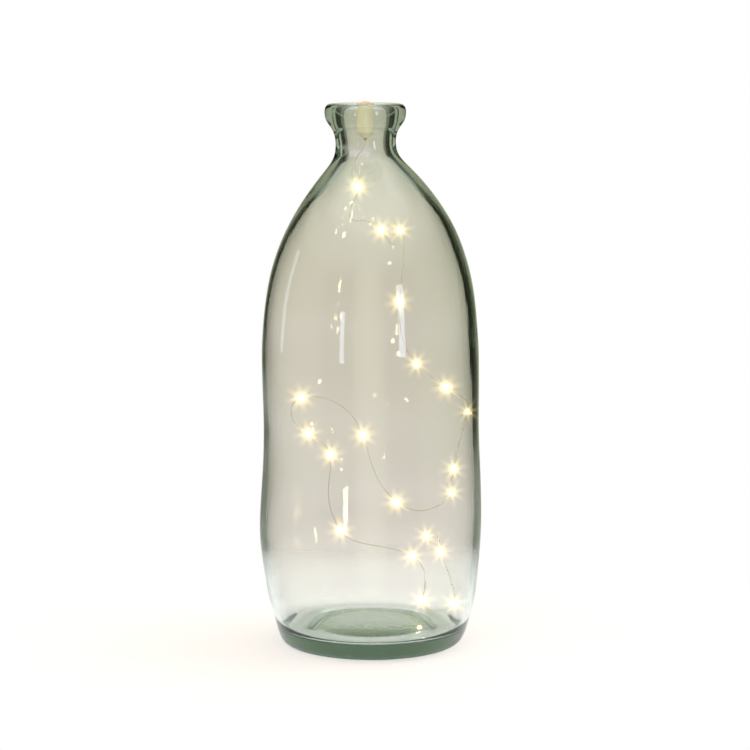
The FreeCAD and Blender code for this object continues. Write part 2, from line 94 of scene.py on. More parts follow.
def add_node(tree: Tree, kind: str, values: dict | None = None, links: dict | None = None,
             stops: Sequence[Tone] = (), **settings: object) -> Node:
    """Add a node with its settings, its sockets' values and its links.

    Args:
        tree: Node tree that gets the node.
        kind: Blender's name of the node, without its tree's.
        values: Value for each input socket, by name or place.
        links: Output socket that feeds each input socket.
        stops: Place and colour, hex or linear, of each stop of a colour ramp.
        **settings: Properties of the node.

    Returns:
        The new node.
    """
    node = tree.nodes.new(tree.bl_idname.removesuffix("Tree") + kind)
    for name, setting in settings.items():
        setattr(node, name, setting)
    for socket, value in (values or {}).items():
        node.inputs[socket].default_value = value
    for socket, source in (links or {}).items():
        tree.links.new(source, node.inputs[socket])
    for index, (place, colour) in enumerate(stops):
        ramp = node.color_ramp.elements
        stop = ramp[index] if index < len(ramp) else ramp.new(place)
        stop.position = place
        stop.color = linear(colour) if isinstance(colour, str) else colour
    return node


# Finishes


@dataclass(frozen=True)
class Finish:
    """A finish, named for the real material, with the record's slot that it fills."""

    name: str
    slot: str

    def shade(self, tree: Tree) -> Node:
        """Add the surface's nodes.

        Args:
            tree: Empty node tree of the material.

        Returns:
            The shader node of the surface.
        """
        raise NotImplementedError

    def fill(self, tree: Tree) -> Node | None:
        """Add the nodes of what is inside the surface, where there are any."""
        return None

    def material(self) -> bpy.types.Material:
        """Give the finish's material, made once.

        Returns:
            The material.
        """
        found = bpy.data.materials.get(self.name)
        if found:
            return found
        made = bpy.data.materials.new(self.name)
        made.use_nodes = True
        made.node_tree.nodes.clear()
        links = {"Surface": self.shade(made.node_tree).outputs[0]}
        inside = self.fill(made.node_tree)
        if inside:
            links["Volume"] = inside.outputs[0]
        add_node(made.node_tree, "OutputMaterial", links=links)
        return made


@dataclass(frozen=True)
class Relief:
    """An unevenness of a skin, with its width and depth in millimetres.

    Its pull is the share of its frequency that is left along the height, and its detail and
    strength are those of Blender's noise and bump.
    """

    width: float
    depth: float
    pull: float
    detail: float
    strength: float


@dataclass(frozen=True)
class BottleGlass(Finish):
    """Recycled soda-lime glass, blown into a mould: clear, faintly green where it is thick."""

    waves: Relief = Relief(width=9.0, depth=0.12, pull=0.22, detail=2.5, strength=0.35)
    threads: Relief = Relief(width=2.2, depth=0.04, pull=0.05, detail=1.5, strength=0.5)
    ior: float = 1.5
    tint: str = "5da07c"
    tint_density: float = 22.5

    def shade(self, tree: Tree) -> Node:
        """Clear glass whose slow waves and drawn lines bend what shows through it.

        Args:
            tree: The material's tree.

        Returns:
            The glass.
        """
        place = add_node(tree, "TexCoord").outputs["Object"]
        skin = {}
        for relief in (self.waves, self.threads):
            drawn = add_node(tree, "Mapping", {"Scale": (1, 1, relief.pull)}, {"Vector": place})
            swells = add_node(tree, "TexNoise",
                              {"Scale": 1 / (relief.width * MM), "Detail": relief.detail},
                              {"Vector": drawn.outputs[0]})
            bump = add_node(tree, "Bump",
                            {"Strength": relief.strength, "Distance": relief.depth * MM},
                            {"Height": swells.outputs["Fac"], **skin})
            skin = {"Normal": bump.outputs[0]}
        return add_node(tree, "BsdfPrincipled",
                        {"Base Color": linear("ffffff"), "Roughness": 0.0, "IOR": self.ior,
                         "Transmission Weight": 1.0}, skin)

    def fill(self, tree: Tree) -> Node:
        """Iron in the recycled glass, which takes more red and blue than green."""
        return add_node(tree, "VolumeAbsorption",
                        {"Color": linear(self.tint), "Density": self.tint_density})


@dataclass(frozen=True)
class ClearSilicone(Finish):
    """Moulded clear silicone, which hardly shows against the wall of the neck."""

    haze: float = 0.12
    colour: str = "fdfdfa"
    grain: float = 0.8
    grain_detail: float = 3.0
    roughest: float = 0.06
    # Far under the real 1.41, because the photograph shows no edge of the plug.
    ior: float = 1.04

    def shade(self, tree: Tree) -> Node:
        """Soft clear rubber: mostly what is behind it, under a faint satin skin.

        Args:
            tree: The material's tree.

        Returns:
            The mix of clear and skin.
        """
        place = add_node(tree, "TexCoord").outputs["Object"]
        grain = add_node(tree, "TexNoise",
                         {"Scale": 1 / (self.grain * MM), "Detail": self.grain_detail},
                         {"Vector": place})
        rough = add_node(tree, "MapRange", {"To Min": 0.0, "To Max": self.roughest},
                         {"Value": grain.outputs["Fac"]})
        skin = add_node(tree, "BsdfPrincipled",
                        {"Base Color": linear(self.colour), "IOR": self.ior,
                         "Transmission Weight": 1.0}, {"Roughness": rough.outputs[0]})
        clear = add_node(tree, "BsdfTransparent")
        return add_node(tree, "MixShader", {0: self.haze},
                        {1: clear.outputs[0], 2: skin.outputs[0]})


@dataclass(frozen=True)
class GrainedFinish(Finish):
    """An opaque finish whose tone drifts over a fine grain, with sizes in millimetres.

    Real grain and rolled lines are a few hundredths of a millimetre wide, so they are drawn
    coarser, to show.
    """

    colour: str
    shade_colour: str
    roughness: tuple[float, float] = (0.38, 0.52)
    grain: float = 0.35
    grain_depth: float = 0.01
    grain_strength: float = 0.4
    grain_detail: float = 2.0
    grain_pull: float = 1.0
    drift: float = 4.0
    drift_detail: float = 2.0
    drift_ends: tuple[float, float] = (0.3, 0.7)
    metallic: float = 0.0
    ior: float = 1.5

    def shade(self, tree: Tree) -> Node:
        """Two tones that drift into each other, over grain that breaks up the gloss.

        Args:
            tree: The material's tree.

        Returns:
            The plastic or metal.
        """
        place = add_node(tree, "TexCoord").outputs["Object"]
        drift = add_node(tree, "TexNoise",
                         {"Scale": 1 / (self.drift * MM), "Detail": self.drift_detail},
                         {"Vector": place})
        shaded, full = self.drift_ends
        tone = add_node(tree, "ValToRGB", links={"Fac": drift.outputs["Fac"]},
                        stops=((shaded, self.shade_colour), (full, self.colour)))
        if self.grain_pull < 1:
            place = add_node(tree, "Mapping", {"Scale": (self.grain_pull, 1, 1)},
                             {"Vector": place}).outputs[0]
        grain = add_node(tree, "TexNoise",
                         {"Scale": 1 / (self.grain * MM), "Detail": self.grain_detail},
                         {"Vector": place})
        rough = add_node(tree, "MapRange",
                         {"To Min": self.roughness[0], "To Max": self.roughness[1]},
                         {"Value": grain.outputs["Fac"]})
        bump = add_node(tree, "Bump",
                        {"Strength": self.grain_strength, "Distance": self.grain_depth * MM},
                        {"Height": grain.outputs["Fac"]})
        return add_node(tree, "BsdfPrincipled", {"Metallic": self.metallic, "IOR": self.ior},
                        {"Base Color": tone.outputs[0], "Roughness": rough.outputs[0],
                         "Normal": bump.outputs[0]})


@dataclass(frozen=True)
class MouldedPlastic(GrainedFinish):
    """Injection-moulded plastic or rubber: even colour, with the grain of an eroded mould."""


@dataclass(frozen=True)
class SheetMetal(GrainedFinish):
    """Plated or rolled metal: bright, with lines from the rolls and a thin tarnish."""

    roughness: tuple[float, float] = (0.18, 0.42)
    grain: float = 0.25
    grain_depth: float = 0.004
    grain_strength: float = 0.3
    grain_detail: float = 4.0
    grain_pull: float = 0.1
    drift: float = 2.2
    drift_detail: float = 5.0
    drift_ends: tuple[float, float] = (0.35, 0.6)
    metallic: float = 1.0


@dataclass(frozen=True)
class PressedCork(Finish):
    """Bleached agglomerated cork: granules pressed together, with darker specks between."""

    granule: float = 1.1
    granule_tones: tuple[Tone, ...] = ((0.0, "e6cca8"), (0.45, "f1dcc0"), (1.0, "f8e9d3"))
    seam: float = 0.09
    seam_colour: str = "c8a785"
    speck: float = 0.35
    speck_detail: float = 3.0
    speck_ends: tuple[float, float] = (0.36, 0.44)
    relief_depth: float = 0.12
    relief_strength: float = 0.8
    roughness: float = 0.85
    ior: float = 1.45

    def shade(self, tree: Tree) -> Node:
        """Peach granules of slightly different tones, dark seams and open pores.

        Args:
            tree: The material's tree.

        Returns:
            The cork.
        """
        place = add_node(tree, "TexCoord").outputs["Object"]
        size = {"Scale": 1 / (self.granule * MM)}
        cells = add_node(tree, "TexVoronoi", size, {"Vector": place})
        parts = add_node(tree, "SeparateColor", links={"Color": cells.outputs["Color"]})
        tone = add_node(tree, "ValToRGB", links={"Fac": parts.outputs[0]},
                        stops=self.granule_tones)
        seams = add_node(tree, "TexVoronoi", size, {"Vector": place}, feature="DISTANCE_TO_EDGE")
        seam = add_node(tree, "MapRange", {"From Max": self.seam},
                        {"Value": seams.outputs["Distance"]})
        specks = add_node(tree, "TexNoise",
                          {"Scale": 1 / (self.speck * MM), "Detail": self.speck_detail},
                          {"Vector": place})
        pore = add_node(tree, "MapRange",
                        {"From Min": self.speck_ends[0], "From Max": self.speck_ends[1]},
                        {"Value": specks.outputs["Fac"]})
        both = add_node(tree, "Math", links={0: seam.outputs[0], 1: pore.outputs[0]},
                        operation="MULTIPLY")
        mixed = add_node(tree, "Mix", {MIX_FIRST: linear(self.seam_colour)},
                         {MIX_SHARE: both.outputs[0], MIX_SECOND: tone.outputs[0]},
                         data_type="RGBA")
        bump = add_node(tree, "Bump",
                        {"Strength": self.relief_strength, "Distance": self.relief_depth * MM},
                        {"Height": both.outputs[0]})
        return add_node(tree, "BsdfPrincipled", {"Roughness": self.roughness, "IOR": self.ior},
                        {"Base Color": mixed.outputs[MIX_RESULT], "Normal": bump.outputs[0]})


@dataclass(frozen=True)
class LitFinish(Finish):
    """A finish that shines: the chips as the lamps they are, the resin drops with a painted glow;
    each light with a brightness of its own, as cheap diodes have.
    """

    strength: float
    colour: str
    glow_tones: tuple[Tone, ...]
    roughness: float
    ior: float = 1.5
    clearness: float = 0.0
    # Half the distance between lights in millimetres, so that most get a zone of their own.
    zone: float = 24.0
    dimmest: float = 0.4
    brightest: float = 1.6

    def glow(self, tree: Tree) -> Socket:
        """Add the pattern of the glow.

        Args:
            tree: The material's tree.

        Returns:
            The output that leads from one glow tone to the next.
        """
        raise NotImplementedError

    def shade(self, tree: Tree) -> Node:
        """A glow that is far brighter than what is round it, and uneven along the string.

        Args:
            tree: The material's tree.

        Returns:
            The shining surface.
        """
        place = add_node(tree, "TexCoord").outputs["Object"]
        zones = add_node(tree, "TexVoronoi", {"Scale": 1 / (self.zone * MM)}, {"Vector": place})
        share = add_node(tree, "SeparateColor", links={"Color": zones.outputs["Color"]})
        light = add_node(tree, "MapRange",
                         {"To Min": self.dimmest * self.strength,
                          "To Max": self.brightest * self.strength}, {"Value": share.outputs[1]})
        tone = add_node(tree, "ValToRGB", links={"Fac": self.glow(tree)}, stops=self.glow_tones)
        return add_node(tree, "BsdfPrincipled",
                        {"Base Color": linear(self.colour), "Roughness": self.roughness,
                         "IOR": self.ior, "Transmission Weight": self.clearness},
                        {"Emission Color": tone.outputs[0], "Emission Strength": light.outputs[0]})


@dataclass(frozen=True)
class ResinWithPaintedGlow(LitFinish):
    """Clear resin drop cast over a light chip, with a painted glow: the resin shines itself, for
    the chip's light spread through it, bright in the middle and amber towards its rim.
    """

    rim_blend: float = 0.45

    def glow(self, tree: Tree) -> Socket:
        """How far a drop's skin turns from the eye, which tints the painted glow amber towards its
        rim.
        """
        return add_node(tree, "LayerWeight", {"Blend": self.rim_blend}).outputs["Facing"]


@dataclass(frozen=True)
class LitPhosphor(LitFinish):
    """Warm-white phosphor of a light chip, yellow in grains that are drawn coarse, to show."""

    grain: float = 0.12

    def glow(self, tree: Tree) -> Socket:
        """Yellow grains, each with a pale middle.

        Args:
            tree: The material's tree.

        Returns:
            The output that says how far a place is from the middle of its grain.
        """
        place = add_node(tree, "TexCoord").outputs["Object"]
        grains = add_node(tree, "TexVoronoi", {"Scale": 1 / (self.grain * MM)}, {"Vector": place})
        return grains.outputs["Distance"]


@dataclass(frozen=True)
class PaleFloor(Finish):
    """Matt white card on the studio table, lost in the white of the room towards its edge."""

    colour: str = "f0eef2"
    roughness: float = 0.9
    tooth: float = 1.5
    tooth_depth: float = 0.05
    tooth_strength: float = 0.1
    fade_start: float = 100.0
    fade_end: float = 360.0

    def shade(self, tree: Tree) -> Node:
        """White card with the faint tooth of its paper.

        Args:
            tree: The material's tree.

        Returns:
            The mix of card and clear.
        """
        place = add_node(tree, "TexCoord").outputs["Object"]
        tooth = add_node(tree, "TexNoise", {"Scale": 1 / (self.tooth * MM)}, {"Vector": place})
        bump = add_node(tree, "Bump",
                        {"Strength": self.tooth_strength, "Distance": self.tooth_depth * MM},
                        {"Height": tooth.outputs["Fac"]})
        card = add_node(tree, "BsdfPrincipled",
                        {"Base Color": linear(self.colour), "Roughness": self.roughness},
                        {"Normal": bump.outputs[0]})
        reach = add_node(tree, "VectorMath", links={0: place}, operation="LENGTH")
        fade = add_node(tree, "MapRange",
                        {"From Min": self.fade_start * MM, "From Max": self.fade_end * MM},
                        {"Value": reach.outputs["Value"]}, interpolation_type="SMOOTHSTEP")
        clear = add_node(tree, "BsdfTransparent")
        return add_node(tree, "MixShader", links={
            0: fade.outputs[0], 1: card.outputs[0], 2: clear.outputs[0]})


GLASS = BottleGlass("recycled_bottle_glass", "glass")
SILICONE = ClearSilicone("clear_silicone", "plug")
CREAM_ABS = MouldedPlastic("cream_abs", "tube", "f2ebca", "e6dcb6")
GLAND_RUBBER = MouldedPlastic("grey_rubber", "gland", "b9ad88", "a3976f", (0.55, 0.7))
BUTTON_RUBBER = MouldedPlastic("tan_rubber", "button", "efdcbf", "e2c9a4", (0.5, 0.65))
SOLDER_MASK = MouldedPlastic("green_solder_mask", "board", "2f6b45", "24573a", (0.2, 0.3),
                             grain=0.2)
RESISTOR_CERAMIC = MouldedPlastic("black_ceramic", "resistor", "26262a", "1b1b1e", (0.3, 0.45))
BRASS = SheetMetal("rolled_brass", "brass", "d8b765", "b08f48")
SPRING_STEEL = SheetMetal("spring_steel", "spring_steel", "b9b8b4", "94928d")
CELL_NICKEL = SheetMetal("nickel_plated_cell", "cell", "d3d0c8", "b4b0a6", grain=0.4)
CORK = PressedCork("bleached_pressed_cork", "cork")
LACQUERED_WIRE = MouldedPlastic("lacquered_copper_wire", "wire", "ddd3b4", "b7a67e",
                                (0.25, 0.4), grain=0.3)
# The resin drops' own shine is a painted glow, for the chip's light spread through the resin; the
# chips are the lamps.
RESIN = ResinWithPaintedGlow("cast_resin_drop", "resin", strength=22.0, colour="fff4da",
                     glow_tones=((0.0, "fffae2"), (0.8, "ffeab0")), roughness=0.12, ior=1.52,
                     clearness=0.5)
PHOSPHOR = LitPhosphor("lit_phosphor", "led", strength=150.0, colour="f5dc7a",
                       glow_tones=((0.0, "fff8da"), (1.0, "ffe9ac")), roughness=0.6)
FLOOR_CARD = PaleFloor("white_card", "")


# Building helpers


def new_object(name: str, mesh: bpy.types.Mesh) -> Piece:
    """Link a mesh to the scene as an object at the origin.

    Args:
        name: Name of the object.
        mesh: Its mesh, or the curve of a holder.

    Returns:
        The object.
    """
    made = bpy.data.objects.new(name, mesh)
    bpy.context.scene.collection.objects.link(made)
    return made


def dressed(made: Piece, body: Body, finish: Finish, nodes: Sequence[str] = ()) -> Piece:
    """Give a piece its finish, its body and the CAD nodes that it stands for.

    Args:
        made: The piece.
        body: Body that it moves with.
        finish: Its finish.
        nodes: CAD nodes that it replaces.

    Returns:
        The piece.
    """
    made.data.materials.clear()
    made.data.materials.append(finish.material())
    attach(made, body.value)
    if nodes:
        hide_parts(*nodes)
    log.info("%s: %d faces, %s, on %s", made.name,
             len(getattr(made.data, "polygons", ())), finish.name, body.value)
    return made


def closed_mesh(name: str, shell: bmesh.types.BMesh, crease: float = 35.0) -> bpy.types.Mesh:
    """Close a shape's doubles, point its faces outwards and make it a smooth mesh.

    Args:
        name: Name of the mesh.
        shell: The shape, which is freed.
        crease: Angle in degrees past which an edge stays sharp.

    Returns:
        The mesh.
    """
    bmesh.ops.remove_doubles(shell, verts=shell.verts, dist=MERGE)
    bmesh.ops.recalc_face_normals(shell, faces=shell.faces)
    mesh = bpy.data.meshes.new(name)
    shell.to_mesh(mesh)
    shell.free()
    mesh.shade_smooth()
    mesh.set_sharp_from_angle(angle=math.radians(crease))
    return mesh


def turned(outline: Sequence[Ring], steps: int, closed: bool = False) -> bmesh.types.BMesh:
    """Turn an outline of radius and height round the Z axis, as on a lathe.

    Args:
        outline: Radius and height of each ring, in millimetres.
        steps: Sides of the turned shape.
        closed: Whether the outline's end joins its start.

    Returns:
        The turned shape in metres.
    """
    shell = bmesh.new()
    rim = [shell.verts.new((radius * MM, 0, height * MM)) for radius, height in outline]
    pairs = list(zip(rim, rim[1:]))
    if closed:
        pairs.append((rim[-1], rim[0]))
    edges = [shell.edges.new(pair) for pair in pairs]
    bmesh.ops.spin(shell, geom=rim + edges, cent=(0, 0, 0), axis=(0, 0, 1), dvec=(0, 0, 0),
                   angle=FULL_TURN, steps=steps, use_merge=True, use_duplicate=False)
    bmesh.ops.remove_doubles(shell, verts=shell.verts, dist=MERGE)
    return shell


def clamped(share: float) -> float:
    """Keep a share between none and all."""
    return min(max(share, 0.0), 1.0)


# Sub-assemblies


@dataclass
class GlassBottle:
    """Blown bottle with a thick base, a waisted body and a flared lip, on its own axis.

    Rings are radius and height in millimetres. Those outside are read from the photograph's
    outline, and those inside are fitted to how its glass looks.
    """

    outside: tuple[Ring, ...] = (
        (0, 3.0), (14, 2.95), (28, 2.8), (35, 2.2), (38, 1.0), (41, 0.15), (45, 0.0),
        (50, 0.0), (54.6, 0.1), (57.2, 0.7), (58.9, 2.0), (60.3, 4.5), (62.1, 8.8),
        (63.5, 15), (65.8, 22), (67.8, 30), (69.1, 39), (70.2, 48), (71.3, 58), (72.2, 68),
        (72.5, 78), (72.3, 88), (71.8, 99), (71.1, 111), (70.4, 123), (69.9, 136),
        (69.8, 149), (70.1, 162), (70.3, 173), (70.4, 183), (70.4, 192), (69.8, 202),
        (69.1, 211), (68.1, 221), (66.7, 230.6), (64.9, 240), (62.2, 250), (58.9, 259.6),
        (54.8, 269.3), (49.6, 279), (43.5, 288.5), (36.3, 298.1), (30.2, 305.3),
        (25.6, 310.3), (22.4, 314.2), (20.6, 317.3), (19.7, 320.3), (19.3, 323.5),
        (19.3, 326.5), (19.7, 329.8), (20.9, 333.0), (22.7, 335.8), (24.6, 338.2),
        (25.7, 340.8), (26.1, 343.4), (26.1, 345.8), (25.7, 347.6), (24.8, 349.0),
        (23.3, 349.8), (21.6, 350.0),
    )
    inside: tuple[Ring, ...] = (
        (19.2, 349.9), (17.3, 349.6), (16.0, 348.9), (15.2, 347.4), (14.6, 346.0),
        (13.4, 340.0), (12.62, 336.0), (11.95, 332.4), (11.6, 328.6), (11.42, 324.5),
        (11.48, 319.8), (12.3, 315.4), (14.4, 311.4), (18.6, 306.8), (24.2, 301.4), (30.6, 295.2),
        (37.6, 287.8), (43.8, 279.4), (49.1, 270.2), (53.5, 260.8), (57.2, 251.2),
        (60.3, 241.4), (62.6, 231.4), (64.4, 221.4), (65.5, 211), (66.2, 200), (66.6, 188),
        (66.7, 174), (66.6, 160), (66.4, 146), (66.4, 132), (67.0, 118), (67.6, 104),
        (68.2, 91), (68.3, 79), (68.0, 67), (66.6, 55), (65.3, 44), (64.0, 34), (62.0, 26),
        (60.4, 19), (59.2, 15.2), (57.8, 12.7), (55.6, 11.3), (50, 10.8), (42, 11.4),
        (36, 12.6), (28, 13.4), (14, 13.9), (0, 14.0),
    )
    # Height, and how far the blown axis stands to the right of the foot's middle there.
    sway: tuple[Ring, ...] = (
        (0, 1.1), (20, 1.45), (35, 0.95), (50, 0.5), (62, 0.15), (70, 0.1), (90, 0.5),
        (110, 0.95), (130, 0.95), (150, 0.75), (170, 0.45), (190, 0.15), (210, 0.0), (230, 0.2),
        (250, 0.3), (270, 0.55), (285, 0.5), (295, 0.35), (302, 0.0), (308, -0.5),
        (312, -1.0), (316, -1.9), (320, -2.5), (326, -2.75), (332, -3.0), (351, -3.0),
    )
    steps: int = 96
    # The wall swells most in the body and is calm by calm_height, where the neck begins.
    swell: float = 0.25
    swell_width: float = 35.0
    swell_pull: float = 0.6
    swell_bias: float = 0.6
    swell_start: float = 20.0
    swell_fade: float = 30.0
    calm_height: float = 300.0
    # The hollow is off centre, which leaves one side of the body thicker.
    thick_side: float = 1.3
    thick_start: float = 130.0
    thick_rise: float = 60.0
    thick_fall: float = 40.0

    def axis_shift(self, height: float) -> float:
        """How far the bottle's axis stands to one side.

        Args:
            height: Height in metres.

        Returns:
            The shift in metres, to the right of the foot's middle.
        """
        level = height / MM
        for (low, start), (high, end) in zip(self.sway, self.sway[1:]):
            if level <= high:
                share = max(level - low, 0) / (high - low)
                return (start + (end - start) * share) * MM
        return self.sway[-1][1] * MM

    def bubble_shift(self, height: float) -> float:
        """How far the blown hollow stands off the middle of the body.

        Args:
            height: Height in metres.

        Returns:
            The shift in metres, to the left.
        """
        low = clamped((height / MM - self.thick_start) / self.thick_rise)
        high = clamped((self.calm_height - height / MM) / self.thick_fall)
        return self.thick_side * MM * low * high

    def build(self) -> list[Piece]:
        """Turn the wall, lean its neck and give it the slight unevenness of blown glass.

        Returns:
            The bottle.
        """
        shell = turned(self.outside + self.inside, self.steps)
        # A corner is on the inside if a ring there has its radius and height.
        hollow = {(round(width, 1), round(level, 1)) for width, level in self.inside}
        for corner in shell.verts:
            height = corner.co.z
            width = math.hypot(corner.co.x, corner.co.y)
            if (round(width / MM, 1), round(height / MM, 1)) in hollow:
                corner.co.x -= self.bubble_shift(height)
            fade = clamped((self.calm_height - height / MM) / self.swell_fade)
            fade *= clamped((height / MM - self.swell_start) / self.swell_fade)
            spot = Vector((corner.co.x, corner.co.y, height * self.swell_pull))
            swell = noise.noise(spot / (self.swell_width * MM))
            reach = math.hypot(corner.co.x, corner.co.y)
            if reach > 0:
                share = (swell - self.swell_bias) * self.swell * MM * fade / reach
                corner.co.x *= 1 + share
                corner.co.y *= 1 + share
            corner.co.x += self.axis_shift(height)
        made = new_object("bottle_glass", closed_mesh("bottle_glass", shell, NO_CREASE))
        finer = made.modifiers.new("finer", "SUBSURF")
        finer.levels = finer.render_levels = 1
        # Clear glass lets light through to the floor, so it casts no dark shadow.
        made.visible_shadow = False
        return [dressed(made, Body.BOTTLE, GLASS, ["bottle"])]


@dataclass
class LightString:
    """Twisted pair of enamelled wires with twenty resin drops along it."""

    # Route of the wire in millimetres, as in the part's source.
    route: tuple[Point, ...] = (
        (-3, 0, 327.5), (-3, 0, 323.5), (-5, -1, 319.5), (-8, -2, 315.5), (-9.5, -4, 310.5),
        (-9, -6, 304), (-7, -8, 297.5), (-9, -10, 290.5), (-12.5, -11, 284.5), (-13, -12, 278.5),
        (-8.5, -14, 275.5), (-3.5, -15, 277), (2, -16, 274.5), (7.5, -14, 270), (11.5, -8, 264),
        (14.5, 0, 259), (16.5, 9, 261), (18.5, 14.5, 266.5), (20, 19, 268), (22.5, 23, 263),
        (23.5, 23, 252), (22, 20, 240), (19.5, 14, 223), (20, 17, 209), (22, 18, 196),
        (25.5, 13, 187.5), (30.5, 3, 182.5), (36.5, -12, 180), (41, -28, 177), (47, -36, 173),
        (56, -29, 167), (62, -15, 160), (64, 0, 153), (63, 11, 144), (61, 19, 133),
        (58.5, 24, 120), (56.5, 23, 109), (54, 13, 104), (53, -2, 102), (52.5, -17, 101.5),
        (49, -30, 99), (41.5, -38, 96), (33, -42, 94), (25.5, -42, 95), (16.5, -38, 98.5),
        (10, -34, 105), (4, -31, 114), (-0.5, -30, 127), (-4, -30, 141.5), (-10, -30, 153),
        (-18, -31, 161), (-29.5, -34, 166.5), (-43.5, -37, 167), (-49, -31, 161),
        (-50.5, -20, 152), (-46.5, -9, 142), (-39, -6, 137), (-33, -19, 136), (-28, -33, 135),
        (-24, -43, 131), (-24.5, -44, 121), (-26.5, -42, 108), (-25, -40, 94), (-18.5, -38, 80),
        (-11.5, -37, 74), (0, -34, 70.5), (15, -28, 67), (27, -17, 60), (33, -9, 53),
        (36.5, 1, 43), (36.5, 10, 31), (34.5, 15, 22.5), (35.5, 18, 17), (39.5, 18, 14.5),
        (44.5, 11, 15.5), (50, 1, 19), (55, -10, 25.5), (54, -13, 36), (51.5, -4, 45),
        (49, 8, 50), (47, 17, 54.5), (46, 17, 62), (44, 6, 69), (40, -8, 73), (36, -19, 73),
    )
    # Distance of each light along the wire, in millimetres.
    places: tuple[float, ...] = (
        32.8, 76.9, 117.4, 165.1, 214.7, 257.6, 302.8, 355.4, 396.4, 448.6, 498.2, 549.0,
        596.3, 635.6, 688.0, 743.5, 795.2, 839.2, 884.8, 931.4,
    )
    # Radius of one strand.
    strand: float = 0.12
    twist_pitch: float = 6.0
    # Points of the smooth line for each point of the route.
    line_steps: int = 10
    drop_outline: tuple[Ring, ...] = (
        (0, -2.2), (0.3, -2.2), (0.42, -2.05), (0.62, -1.7), (0.92, -1.2), (1.14, -0.65),
        (1.22, -0.1), (1.22, 0.35), (1.1, 0.95), (0.86, 1.45), (0.58, 1.85), (0.4, 2.1),
        (0.28, 2.2), (0, 2.2),
    )
    drop_steps: int = 16
    chip_size: float = 0.8
    chip_height: float = 0.5
    chip_bevel: float = 0.08
    chip_gap: float = 0.03
    chip_crease: float = 30.0
    # How far along the wire a light may move from its place to meet its CAD drop.
    search: float = 14.0
    spine: list[Vector] = field(default_factory=list)
    run: list[float] = field(default_factory=list)

    def lay_spine(self) -> None:
        """Lay the smooth line of the wire and keep its points and their distances."""
        curve = bpy.data.curves.new("wire_route", "CURVE")
        curve.dimensions = "3D"
        curve.resolution_u = self.line_steps
        line = curve.splines.new("NURBS")
        line.points.add(len(self.route) - 1)
        for knot, point in zip(line.points, self.route):
            knot.co = (*(number * MM for number in point), 1.0)
        line.order_u = 3
        line.use_endpoint_u = True
        holder = new_object("wire_route", curve)
        bpy.context.view_layer.update()
        mesh = bpy.data.meshes.new_from_object(holder)
        self.spine = [corner.co.copy() for corner in mesh.vertices]
        bpy.data.meshes.remove(mesh)
        bpy.data.objects.remove(holder)
        bpy.data.curves.remove(curve)
        self.run = [0.0]
        for before, after in zip(self.spine, self.spine[1:]):
            self.run.append(self.run[-1] + (after - before).length)

    def heading(self, index: int) -> Vector:
        """Direction of the wire at a point of its line.

        Args:
            index: Number of the point, from zero.

        Returns:
            The direction, one unit long.
        """
        before = self.spine[max(index - 1, 0)]
        after = self.spine[min(index + 1, len(self.spine) - 1)]
        return (after - before).normalized()

    def build_wire(self) -> Piece:
        """Wind two strands about the line, a twist every few millimetres.

        Returns:
            The pair of wires.
        """
        curve = bpy.data.curves.new("string_wire_pair", "CURVE")
        curve.dimensions = "3D"
        curve.bevel_depth = self.strand * MM
        curve.bevel_resolution = 1
        curve.use_fill_caps = True
        sides = (1, -1)
        strands = [curve.splines.new("POLY") for _ in sides]
        for strand in strands:
            strand.points.add(len(self.spine) - 1)
        across = self.heading(0).orthogonal().normalized()
        for index, place in enumerate(self.spine):
            ahead = self.heading(index)
            across = (across - ahead * across.dot(ahead)).normalized()
            angle = FULL_TURN * self.run[index] / (self.twist_pitch * MM)
            arm = Matrix.Rotation(angle, 3, ahead) @ across * self.strand * MM
            for strand, side in zip(strands, sides):
                strand.points[index].co = (*(place + arm * side), 1.0)
        holder = new_object("wire_strands", curve)
        bpy.context.view_layer.update()
        mesh = bpy.data.meshes.new_from_object(holder)
        mesh.name = "string_wire_pair"
        bpy.data.objects.remove(holder)
        bpy.data.curves.remove(curve)
        mesh.shade_smooth()
        return dressed(new_object("string_wire_pair", mesh), Body.STOPPER, LACQUERED_WIRE,
                       ["string_wire"])

    def pose(self, index: int) -> Matrix:
        """Place on the wire of one light, nearest to where its CAD drop is.

        Args:
            index: Number of the light, from zero.

        Returns:
            Turn and place of the light, its own Z along the wire.
        """
        low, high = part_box(f"led_drop_{index + 1:02d}")
        middle = (Vector(low) + Vector(high)) / 2
        target = self.places[index] * MM * self.run[-1] / (self.places[-1] * MM)
        near = [n for n, run in enumerate(self.run) if abs(run - target) < self.search * MM]
        best = min(near, key=lambda n: (self.spine[n] - middle).length)
        turn = self.heading(best).to_track_quat("Z", "X").to_matrix().to_4x4()
        return Matrix.Translation(self.spine[best]) @ turn

    def build_drop(self, index: int) -> Piece:
        """Cast one resin drop round the wire.

        Args:
            index: Number of the light, from zero.

        Returns:
            The drop.
        """
        shell = turned(self.drop_outline, self.drop_steps)
        bmesh.ops.transform(shell, matrix=self.pose(index), verts=shell.verts)
        name = f"led_resin_{index + 1:02d}"
        return dressed(new_object(name, closed_mesh(name, shell, NO_CREASE)), Body.STOPPER,
                       RESIN, [f"led_drop_{index + 1:02d}"])

